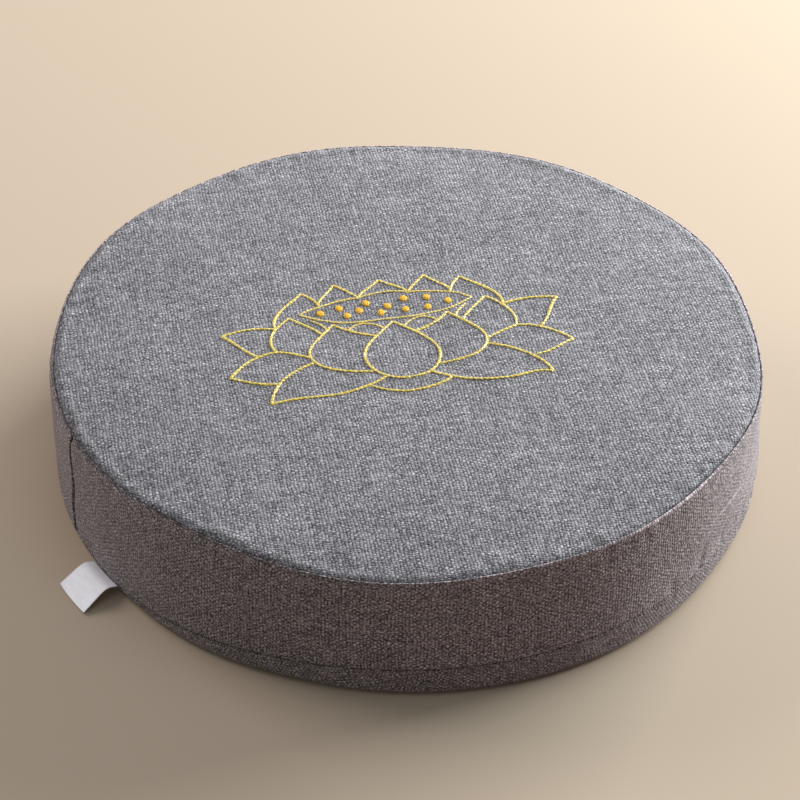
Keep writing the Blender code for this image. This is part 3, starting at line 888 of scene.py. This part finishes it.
def stitched_lines(name, edges, stitch, width, strand_radius, rise, strands, seed, both=True):
    """Each line as stitches end to end, several strands lying side by side."""
    random = np.random.default_rng(seed)
    centres, radii, tones = [], [], []
    t = np.array([0, 0.06, 0.16, 0.33, 0.5, 0.67, 0.84, 0.94, 1.0])
    for edge in edges:
        for mirrored in (False, True) if both else (False,):
            if edge.only == ("left" if mirrored else "right"):
                continue
            path = curve_of(edge, mirrored)
            along = np.concatenate([[0], np.cumsum(np.linalg.norm(np.diff(path, axis=0), axis=1))])
            total = along[-1]
            count = max(1, round(total / stitch))
            line_tone = random.uniform(-0.08, 0.08)
            for k in range(count):
                wander = random.uniform(-0.12, 0.12)
                start = (k + wander - 0.13) * total / count
                end = (k + 1 + random.uniform(-0.08, 0.08) + 0.13) * total / count
                start, end = max(start, 0.0), min(end, total)
                here = start + (end - start) * t
                x, y = np.interp(here, along, path[:, 0]), np.interp(here, along, path[:, 1])
                dx, dy = np.gradient(x), np.gradient(y)
                size = np.hypot(dx, dy)
                nx, ny = -dy / size, dx / size
                order = random.permutation(strands)
                stitch_tone = random.uniform(-0.14, 0.14) + line_tone
                for m in range(strands):
                    from_side = (m / max(strands - 1, 1) - 0.5) * width
                    to_side = (order[m] / max(strands - 1, 1) - 0.5) * width
                    across = from_side + (to_side - from_side) * (t * t * (3 - 2 * t)) * 0.8
                    across = across + random.uniform(-0.05, 0.05)
                    px, py = x + nx * across, y + ny * across
                    arch = np.sin(math.pi * np.clip(t, 0.001, 0.999)) ** 0.4
                    flat = 1 - 0.3 * (2 * across / max(width, 0.1)) ** 2
                    height = rise * arch * flat * random.uniform(0.88, 1.1)
                    centres.append(np.stack([px, py, height - 0.22], -1))
                    radii.append(strand_radius * (0.72 + 0.28 * arch) * random.uniform(0.92, 1.08))
                    tones.append(0.5 + stitch_tone + random.uniform(-0.12, 0.12))
    centre, radius = np.array(centres), np.array(radii)
    centre[..., 2] += top_at(centre[..., 0], centre[..., 1])
    return tubes(name, centre, radius, tone=np.clip(np.array(tones), 0, 1))


def stitched_seeds(name):
    """Small raised dots, each a fan of satin stitches laid side by side."""
    random = np.random.default_rng(77)
    centres, radii, tones = [], [], []
    t = np.linspace(0, 1, 8)
    for seed in SEEDS:
        cx, cy = placed(np.array([seed.x, seed.y], float))
        wide, tall = random.uniform(1.72, 1.96), random.uniform(2.75, 3.1)
        lean = random.uniform(-0.25, 0.25)
        count = 9
        for layer, size in ((0, 0.72), (1, 1.0)):
            for k in range(count):
                across = (k / (count - 1) - 0.5) * 2
                half = tall * size * math.sqrt(max(0.06, 1 - (across * 0.94) ** 2))
                x = cx + across * wide * size + random.uniform(-0.06, 0.06)
                reach = half * random.uniform(0.93, 1.07)
                y = cy + (2 * t - 1) * reach
                px = x + lean * (2 * t - 1) * reach * 0.3
                arch = np.sin(math.pi * np.clip(t, 0.001, 0.999)) ** 0.5
                dome = (0.35 + 0.65 * math.sqrt(1 - 0.85 * across**2)) * (0.62 if layer == 0 else 1.0)
                height = 0.85 * dome * arch - 0.22
                centres.append(np.stack([px, y, height], -1))
                radii.append(0.31 * (0.65 + 0.35 * arch) * random.uniform(0.92, 1.08))
                tones.append(0.2 + 0.65 * across**2 + random.uniform(-0.1, 0.1))
    centre, radius = np.array(centres), np.array(radii)
    centre[..., 2] += top_at(centre[..., 0], centre[..., 1])
    return tubes(name, centre, radius, tone=np.clip(np.array(tones), 0, 1))


# ---------------------------------------------------------------- materials
class Value:
    """A number in a shader's graph. Arithmetic on it adds nodes."""

    def __init__(self, graph, socket):
        self.graph, self.socket = graph, socket

    def __add__(self, other):
        return self.graph.math("ADD", self, other)

    def __radd__(self, other):
        return self.graph.math("ADD", other, self)

    def __sub__(self, other):
        return self.graph.math("SUBTRACT", self, other)

    def __rsub__(self, other):
        return self.graph.math("SUBTRACT", other, self)

    def __mul__(self, other):
        return self.graph.math("MULTIPLY", self, other)

    def __rmul__(self, other):
        return self.graph.math("MULTIPLY", other, self)

    def __truediv__(self, other):
        return self.graph.math("DIVIDE", self, other)

    def __neg__(self):
        return self.graph.math("MULTIPLY", self, -1.0)


class Graph:
    """A material's nodes, written as arithmetic."""

    def __init__(self, name):
        self.material = bpy.data.materials.new(name)
        self.material.use_nodes = True
        self.tree = self.material.node_tree
        self.shader = self.tree.nodes["Principled BSDF"]

    def put(self, kind, **settings):
        node = self.tree.nodes.new(kind)
        for name, value in settings.items():
            setattr(node, name, value)
        return node

    def feed(self, socket, value):
        if isinstance(value, Value):
            self.tree.links.new(value.socket, socket)
        elif value is not None:
            socket.default_value = value

    def math(self, operation, a, b=None, c=None, clamp=False):
        node = self.put("ShaderNodeMath", operation=operation, use_clamp=clamp)
        self.feed(node.inputs[0], a)
        self.feed(node.inputs[1], b)
        if c is not None:
            self.feed(node.inputs[2], c)
        return Value(self, node.outputs[0])

    def floor(self, a):
        return self.math("FLOOR", a)

    def cos(self, a):
        return self.math("COSINE", a)

    def sqrt(self, a):
        return self.math("SQRT", self.math("MAXIMUM", a, 0.0))

    def high(self, a, b):
        return self.math("MAXIMUM", a, b)

    def low(self, a, b):
        return self.math("MINIMUM", a, b)

    def place(self, x, y, z=0.0):
        node = self.put("ShaderNodeCombineXYZ")
        for socket, value in zip(node.inputs, (x, y, z)):
            self.feed(socket, value)
        return Value(self, node.outputs[0])

    def uv(self):
        node = self.put("ShaderNodeUVMap", uv_map="cloth_mm")
        split = self.put("ShaderNodeSeparateXYZ")
        self.tree.links.new(node.outputs[0], split.inputs[0])
        return Value(self, split.outputs[0]), Value(self, split.outputs[1])

    def attribute(self, name):
        node = self.put("ShaderNodeAttribute", attribute_name=name)
        return Value(self, node.outputs["Fac"])

    def noise(self, x, y, scale=1.0, detail=0.0, rough=0.5):
        node = self.put("ShaderNodeTexNoise", noise_dimensions="2D")
        self.feed(node.inputs["Vector"], self.place(x, y))
        node.inputs["Scale"].default_value = scale
        node.inputs["Detail"].default_value = detail
        node.inputs["Roughness"].default_value = rough
        return Value(self, node.outputs["Fac"])

    def random(self, x, y):
        node = self.put("ShaderNodeTexWhiteNoise", noise_dimensions="2D")
        self.feed(node.inputs["Vector"], self.place(x, y))
        return Value(self, node.outputs["Value"])

    def ramp(self, value, low, high, smooth=True):
        node = self.put("ShaderNodeMapRange", interpolation_type="SMOOTHSTEP" if smooth else "LINEAR")
        self.feed(node.inputs["Value"], value)
        node.inputs["From Min"].default_value = low
        node.inputs["From Max"].default_value = high
        return Value(self, node.outputs["Result"])

    def mix(self, share, a, b):
        """Two numbers."""
        node = self.put("ShaderNodeMix", data_type="FLOAT")
        self.feed(node.inputs[0], share)
        self.feed(node.inputs[2], a)
        self.feed(node.inputs[3], b)
        return Value(self, node.outputs[0])

    def tint(self, share, a, b):
        """Two colours."""
        node = self.put("ShaderNodeMix", data_type="RGBA")
        self.feed(node.inputs[0], share)
        self.feed(node.inputs[6], a if isinstance(a, Value) else (*a, 1.0))
        self.feed(node.inputs[7], b if isinstance(b, Value) else (*b, 1.0))
        return Value(self, node.outputs[2])

    def dimmed(self, colour, by):
        node = self.put("ShaderNodeVectorMath", operation="SCALE")
        self.feed(node.inputs[0], colour)
        self.feed(node.inputs["Scale"], by)
        return Value(self, node.outputs[0])

    def bump(self, height, strength, distance_mm):
        node = self.put("ShaderNodeBump")
        node.inputs["Strength"].default_value = strength
        node.inputs["Distance"].default_value = distance_mm * MM
        self.feed(node.inputs["Height"], height)
        return Value(self, node.outputs[0])

    def finish(self, colour, roughness, normal=None, **constant):
        self.feed(self.shader.inputs["Base Color"], colour)
        self.feed(self.shader.inputs["Roughness"], roughness)
        if normal is not None:
            self.feed(self.shader.inputs["Normal"], normal)
        for name, value in constant.items():
            self.shader.inputs[name.replace("_", " ")].default_value = value
        return self.material


WARP = 1.83  # mm between the yarns that run up the cloth
WEFT = 1.26  # mm between the yarns across it


Accent = namedtuple("Accent", "from_x to_x y half_wide strength")
BAND_ACCENTS = [
    Accent(171, 259, 47.0, 0.7, 0.35),  # long pale yarns along the band
    Accent(423, 459, 48.2, 0.55, 1.25),
    Accent(193.1, 195.7, 48.2, 0.8, -0.95),  # a dark fleck
]
TOP_ACCENTS = [
    Accent(171.5, 176.5, -95.6, 0.6, -0.65),  # a dark pull beside the seam
]


def slub_cloth(name, yarn, gap, checker, slub=1.0, grain=1.0, pits=0.5, stray=1.0, deep=1.0, fuzz=1.0, shift=0.0, accents=()):
    """Plain weave of uneven yarns, seen in the cloth's own flat frame.

    yarn is the mean colour. Each crossing shows the paler weft or the darker
    warp, whichever rides over. Each yarn has its own shade and its thick and
    thin places. gap is the painted shade between the warp yarns, checker is how
    far the shades of warp and weft lie apart, slub how streaky the yarns are,
    grain how far single crossings differ, pits the painted shade in the holes
    between them, and stray how far the yarns wander from their lines. deep is
    the painted shade where the yarns dive, and fuzz how uneven the nap of loose
    fibres makes them. The painted light and shade that the mesh carries as a
    point attribute is added to the yarns' shades.
    """
    g = Graph(name)
    place_x, place_y = g.uv()
    x, y = place_x + shift, place_y + shift * 0.37
    stray_x = (g.noise(x, y, 0.03) - 0.5) * 1.6 + (g.noise(x, y * 0.6, 0.24, 2.0, 0.7) - 0.5) * (1.05 * stray)
    stray_y = (g.noise(x + 71.0, y, 0.025) - 0.5) * 1.6 + (g.noise(x * 0.7, y + 37.0, 0.24, 2.0, 0.7) - 0.5) * (1.5 * stray)
    u, v = (x + stray_x) / WARP, (y + stray_y) / WEFT
    i, j = g.floor(u), g.floor(v)
    a, b = u - i - 0.5, v - j - 0.5
    # thick and thin places along each yarn
    warp_slub = g.noise(i * 7.31, y / 26.0, 1.0, 1.0, 0.6)
    weft_slub = g.noise(x / 15.0, j * 5.77, 1.0, 1.0, 0.6)
    warp_thick = 0.86 + (warp_slub - 0.5) * 0.5 + (g.random(i + 17.0, j) - 0.5) * 0.22
    weft_thick = 0.92 + (weft_slub - 0.5) * 0.6
    # the rounded yarns and how they pass over and under each other
    across_warp = a / (warp_thick * 0.5)
    across_weft = b / (weft_thick * 0.5)
    round_warp = g.sqrt(1.0 - across_warp * across_warp)
    round_weft = g.sqrt(1.0 - across_weft * across_weft)
    over_warp = g.cos((v - 0.5 + i) * math.pi)
    over_weft = -g.cos((u - 0.5 + j) * math.pi)
    high_warp = round_warp * 0.50 + over_warp * 0.46
    high_weft = round_weft * 0.50 + over_weft * 0.46
    height = g.high(high_warp, high_weft)
    shows_warp = g.ramp(high_warp - high_weft, -0.08, 0.08)
    # each yarn's own shade, streaks along it, and single pale or dark crossings
    apart = g.ramp(g.noise(x + 53.0, y, 0.055, 1.0), 0.3, 0.7) * (checker * 0.8) + checker * 0.6
    warp_shade = (g.random(i, 3.0) - 0.5) * 0.16 * slub + (warp_slub - 0.5) * 0.65 * slub - apart
    weft_shade = (g.random(7.0, j) - 0.5) * 0.16 * slub + (weft_slub - 0.5) * 0.95 * slub + apart
    weft_streak = g.ramp(g.noise(x / 24.0, j * 3.13, 1.0, 0.0), 0.60, 0.76) * 0.8 * slub
    bundle = g.ramp(g.noise(x / 38.0 + 9.0, y / 3.6, 1.0, 0.0), 0.62, 0.78) * 0.5 * slub
    weft_streak = weft_streak + bundle
    warp_streak = g.ramp(g.noise(i * 4.17, y / 34.0, 1.0, 0.0), 0.66, 0.80) * 0.5 * slub + bundle * 0.4
    fibres_warp = (g.noise(x, y * 0.16, 3.2, 1.0) - 0.5) * 0.6
    fibres_weft = (g.noise(x * 0.16, y, 3.6, 1.0) - 0.5) * 0.6
    speckle = (g.random(i, j) - 0.5) * 0.75 * grain
    shade = g.mix(
        shows_warp,
        weft_shade + weft_streak + fibres_weft,
        warp_shade + warp_streak + fibres_warp,
    )
    mottle = (g.noise(x, y, 0.09, 2.0) - 0.5) * 0.3 * slub
    hairs = (g.noise(x + 29.0, y * 1.15, 0.85) - 0.5) * fuzz
    # the mesh's painted highlight and painted shade along the seams is added here
    shade = shade + speckle + hairs + mottle + g.attribute("painted_light")
    for row in accents:
        end = min(2.0, (row.to_x - row.from_x) / 4)
        inside = g.ramp(place_x, row.from_x, row.from_x + end) * g.ramp(-place_x, -row.to_x, end - row.to_x)
        away = g.math("ABSOLUTE", place_y - row.y + (g.noise(place_x, 5.0, 0.05) - 0.5) * 2.0)
        shade = shade + inside * g.ramp(-away, -row.half_wide - 0.3, 0.3 - row.half_wide) * row.strength
    # painted shade: darker lines between the warp yarns, in pieces, and darker holes in them
    gap_i, gap_j = g.floor(u + 0.5), g.floor(v + 0.5)
    broken = g.ramp(g.noise(gap_i * 3.3, y / 2.6, 1.0, 0.0), 0.3, 0.7) * 1.3 + 0.25
    beside = g.math("ABSOLUTE", a)
    between = g.ramp(beside, 0.22, 0.5) * gap * broken
    hole = g.ramp(g.random(gap_i + 311.0, gap_j), 0.35, 0.95, False)
    corner = g.ramp(beside, 0.12, 0.42) * (0.35 + 0.65 * g.ramp(g.math("ABSOLUTE", b), 0.0, 0.4))
    between = g.low(between + corner * hole * pits, 0.85)
    # painted shade where the yarns dive under each other, and in the gaps and holes
    depth = g.ramp(height, -0.05, 0.93, False)
    light = (0.10 + 0.62 * (1 - deep) + depth * (1.12 * deep)) * (1.0 - between)
    light = light * g.high(1.0 + shade, 0.3)
    warmth = g.noise(x + 11.0, y, 0.5, 1.0)
    tinted = g.tint(warmth, [c * s for c, s in zip(yarn, (0.985, 0.99, 1.03))], [c * s for c, s in zip(yarn, (1.02, 1.005, 0.97))])
    colour = g.dimmed(tinted, light)
    roughness = g.mix(depth, 0.95, 0.80)
    relief = height + fibres_warp * 0.12 + fibres_weft * 0.12
    normal = g.bump(relief, 1.0, 0.45)
    return g.finish(colour, roughness, normal, Sheen_Weight=0.14, Sheen_Roughness=0.45, Specular_IOR_Level=0.20)


def thread(name, deep, bright, pale, gloss=0.5):
    """Shiny two-ply thread. Each strand has its own shade."""
    g = Graph(name)
    length, around = g.uv()
    tone = g.attribute("tone")
    twist = g.math("SINE", (length * 1.35 + around * 2.0) * (2 * math.pi))
    colour = g.tint(g.ramp(tone, 0.0, 0.5, False), deep, bright)
    colour = g.tint(g.ramp(tone, 0.5, 1.0, False), colour, pale)
    colour = g.dimmed(colour, 0.96 + twist * 0.06)
    normal = g.bump(twist, 0.5, 0.05)
    return g.finish(colour, 0.36, normal, Sheen_Weight=0.1, Specular_IOR_Level=gloss)


def tape(name):
    """Bare white satin tape with fine ribs across it and firmer edges."""
    g = Graph(name)
    out, side = g.uv()
    rib = g.cos(out * (2 * math.pi / 0.42))
    cord = g.cos(side * (2 * math.pi / 0.5))
    uneven = g.noise(out, side, 0.25, 2.0)
    colour = g.tint(uneven, (0.84, 0.86, 0.92), (0.90, 0.92, 0.97))
    light = 0.97 + rib * 0.03 + cord * 0.015
    selvedge = g.ramp(g.math("ABSOLUTE", side - LABEL_WIDE / 2), LABEL_WIDE / 2 - 1.5, LABEL_WIDE / 2 - 0.9)
    # painted shade of soft creases: darker in noise patches
    crease_shade = g.ramp(g.noise(out * 0.35, side * 0.1, 1.0, 2.0), 0.35, 0.7)
    light = light - selvedge * 0.05 - crease_shade * 0.05
    colour = g.dimmed(colour, light)
    normal = g.bump(rib * 0.6 + cord * 0.4, 0.35, 0.06)
    return g.finish(colour, 0.55, normal, Sheen_Weight=0.15, Specular_IOR_Level=0.45)


# The top, band and underside are one cloth. The band's grey is paler and warmer than the top's: painted light, standing
# in for the warm bounce from the floor.
TOP_GREY = (0.1795, 0.1775, 0.1925)
BAND_GREY_AND_BOUNCE = (0.236, 0.203, 0.215)

# lit and shaded copies of one cloth: the weave settings differ between the panels for the light that falls on each,
# painted into their shade
top_cloth = slub_cloth("slub_cloth_top", TOP_GREY, gap=0.0, checker=0.15, slub=0.6, grain=1.15, pits=0.75, stray=1.8, deep=0.92, fuzz=1.3, accents=TOP_ACCENTS)
band_cloth = slub_cloth("slub_cloth_band", BAND_GREY_AND_BOUNCE, gap=0.0, checker=0.30, slub=0.22, grain=1.05, pits=0.7, stray=1.9, deep=0.68, fuzz=2.6, shift=431.0, accents=BAND_ACCENTS)
under_cloth = slub_cloth("slub_cloth_under", BAND_GREY_AND_BOUNCE, gap=0.0, checker=0.28, slub=0.22, grain=1.05, pits=0.6, stray=1.9, deep=0.6, fuzz=2.4, shift=977.0)
petal_thread = thread("thread_yellow", (0.565, 0.365, 0.025), (0.63, 0.495, 0.085), (0.70, 0.63, 0.26))
pod_thread = thread("thread_pale_yellow", (0.61, 0.41, 0.055), (0.67, 0.53, 0.125), (0.73, 0.65, 0.30))
seed_thread = thread("thread_orange", (0.82, 0.375, 0.0), (0.82, 0.49, 0.0), (0.82, 0.67, 0.04), gloss=0.3)
tape_white = tape("woven_tape")


def dress(obj, material, slot, *nodes):
    obj.data.materials.append(material)
    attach(obj, "root")
    if nodes:
        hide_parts(*nodes)
    return obj


cover_top = dress(make_top_panel(), top_cloth, "top_cloth", "top_panel")
cover_band = dress(make_band(), band_cloth, "band_cloth", "side_band")
cover_bottom = dress(make_bottom_panel(), under_cloth, "under_cloth", "bottom_panel")
label = dress(make_label(), tape_white, "label_tape", "care_label")

petals = stitched_lines("lotus_petals", PETALS, STITCH, 1.18, 0.385, 0.47, 4, 11)
pod = stitched_lines("lotus_pod", POD, POD_STITCH, 0.8, 0.36, 0.42, 3, 12)
seeds = stitched_seeds("lotus_seeds")
dress(petals, petal_thread, "yellow_thread")
dress(pod, pod_thread, "yellow_thread")
dress(seeds, seed_thread, "orange_thread")

# ---------------------------------------------------------------- stage
VIEW_TURN_DEG = -11.5  # the camera stands this far round from the motif's front


def turned(x, y, z):
    """From the camera's own frame (it looks along +Y) to the part's."""
    turn = math.radians(VIEW_TURN_DEG)
    return Vector((x * math.cos(turn) - y * math.sin(turn), x * math.sin(turn) + y * math.cos(turn), z))


def add_floor():
    mesh = bpy.data.meshes.new("floor")
    half = 6.0
    mesh.from_pydata([(-half, -half, 0), (half, -half, 0), (half, half, 0), (-half, half, 0)], [], [(0, 1, 2, 3)])
    floor = bpy.data.objects.new("floor", mesh)
    floor.location.z = -0.0003
    bpy.context.scene.collection.objects.link(floor)
    material = bpy.data.materials.new("pale_floor")
    material.use_nodes = True
    shader = material.node_tree.nodes["Principled BSDF"]
    shader.inputs["Base Color"].default_value = (0.42, 0.342, 0.262, 1)
    shader.inputs["Roughness"].default_value = 0.85
    shader.inputs["Specular IOR Level"].default_value = 0.2
    mesh.materials.append(material)


def softbox(name, azimuth_deg, elevation_deg, distance, wide, tall, watts, colour):
    """A soft light that looks at the cushion. Azimuth 0 is to the camera's right."""
    azimuth, elevation = math.radians(azimuth_deg), math.radians(elevation_deg)
    place = distance * turned(
        math.cos(elevation) * math.cos(azimuth),
        math.cos(elevation) * math.sin(azimuth),
        math.sin(elevation),
    )
    light = bpy.data.lights.new(name, "AREA")
    light.shape = "RECTANGLE"
    light.size, light.size_y = wide, tall
    light.energy = watts
    light.color = colour
    obj = bpy.data.objects.new(name, light)
    obj.location = place
    obj.rotation_euler = (Vector((0, 0, 0.05)) - place).to_track_quat("-Z", "Y").to_euler()
    bpy.context.scene.collection.objects.link(obj)


def add_camera():
    elevation, roll = math.radians(38.9355), math.radians(0.8853)
    forward = Vector((0, math.cos(elevation), -math.sin(elevation)))
    right = Vector((1, 0, 0))
    up = right.cross(forward)
    across = math.cos(roll) * right + math.sin(roll) * up
    upright = -math.sin(roll) * right + math.cos(roll) * up
    columns = [turned(*v) for v in (across, upright, -forward)]
    camera = bpy.data.cameras.new("camera")
    camera.sensor_width = 36.0
    camera.sensor_fit = "HORIZONTAL"
    camera.lens = 126.63
    camera.clip_start, camera.clip_end = 0.05, 40.0
    obj = bpy.data.objects.new("camera", camera)
    matrix = Matrix([[*row] for row in zip(*columns)]).to_4x4()
    matrix.translation = turned(-0.00421, -1.26355, 1.05952)
    obj.matrix_world = matrix
    bpy.context.scene.collection.objects.link(obj)
    bpy.context.scene.camera = obj


add_floor()
softbox("key", 40, 18, 2.2, 1.9, 1.0, 170, (0.97, 1.0, 1.0))
softbox("fill_back_left", 152, 35, 2.4, 1.3, 1.3, 30, (1.0, 0.91, 0.91))
softbox("fill_above", 0, 80, 2.4, 1.3, 1.3, 10.5, (0.72, 0.93, 1.0))
softbox("fill_front_left", -150, 35, 2.4, 1.3, 1.3, 3.4, (0.45, 1.0, 0.75))
world = bpy.data.worlds.new("studio")
bpy.context.scene.world = world
world.use_nodes = True
background = world.node_tree.nodes["Background"]
background.inputs["Color"].default_value = (1.0, 0.845, 0.867, 1)
background.inputs["Strength"].default_value = 0.29
add_camera()
bpy.context.scene.view_settings.view_transform = "Standard"
bpy.context.scene.view_settings.look = "None"
